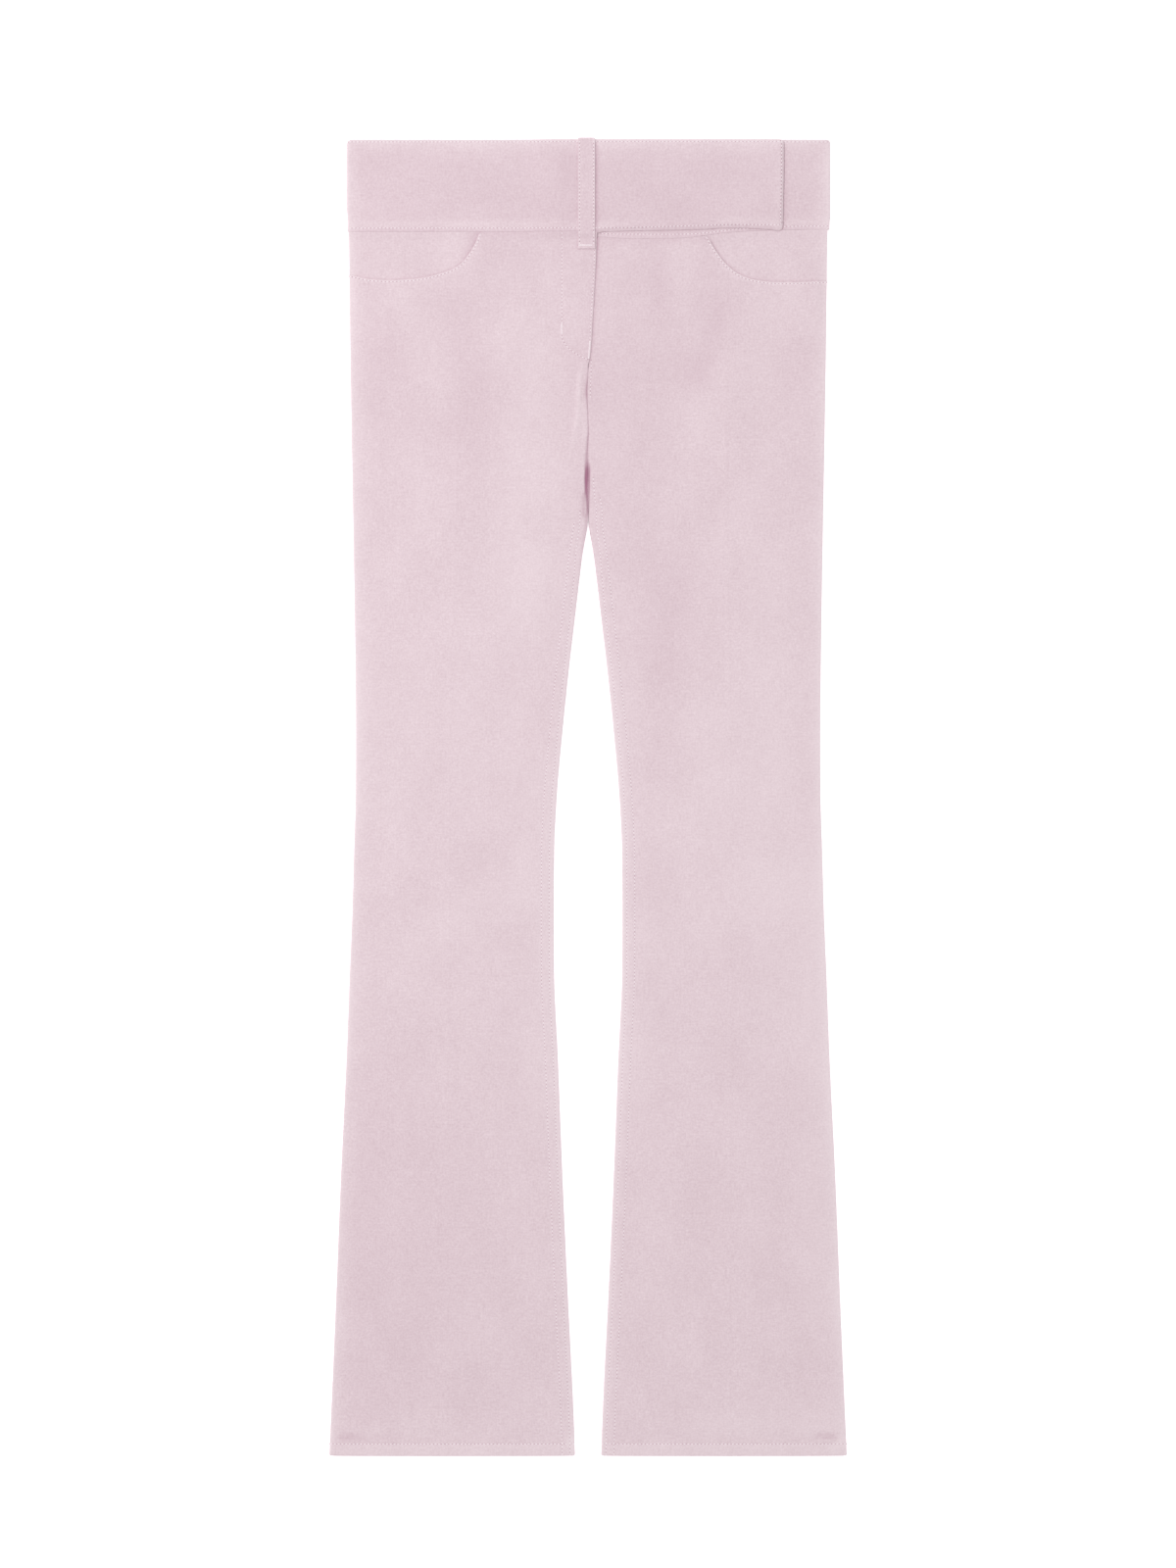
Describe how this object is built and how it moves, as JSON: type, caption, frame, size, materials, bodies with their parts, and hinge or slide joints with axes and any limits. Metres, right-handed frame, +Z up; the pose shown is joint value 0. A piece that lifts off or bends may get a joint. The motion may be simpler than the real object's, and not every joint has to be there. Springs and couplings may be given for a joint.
{
  "type": "bootcut trousers laid flat",
  "caption": "Bootcut trousers laid flat, front up, with a wide tabbed waistband, belt loop, fly, scooped front pockets, pressed creases and flared hems.",
  "frame": {"origin": "middle of the garment's outline, on the surface it lies on", "axes": "+Y along the centre front from the hems to the waistband, +X to the viewer's right (the wearer's left), +Z up out of the surface, out of the front"},
  "size_m": [0.4316, 1.1016, 0.0096],
  "materials": {
    "twill": "fine matt cotton twill, heathered pale dusty pink",
    "thread": "spun polyester sewing thread, a little lighter than the twill"
  },
  "bodies": {
    "root": {"front_leg_right": "twill", "front_leg_left": "twill", "back_leg_right": "twill", "back_leg_left": "twill", "pocket_facing_right": "twill", "pocket_facing_left": "twill", "waistband_tab": "twill", "waistband_under": "twill", "waistband_back": "twill", "belt_loop": "twill"}
  },
  "joints": []
}
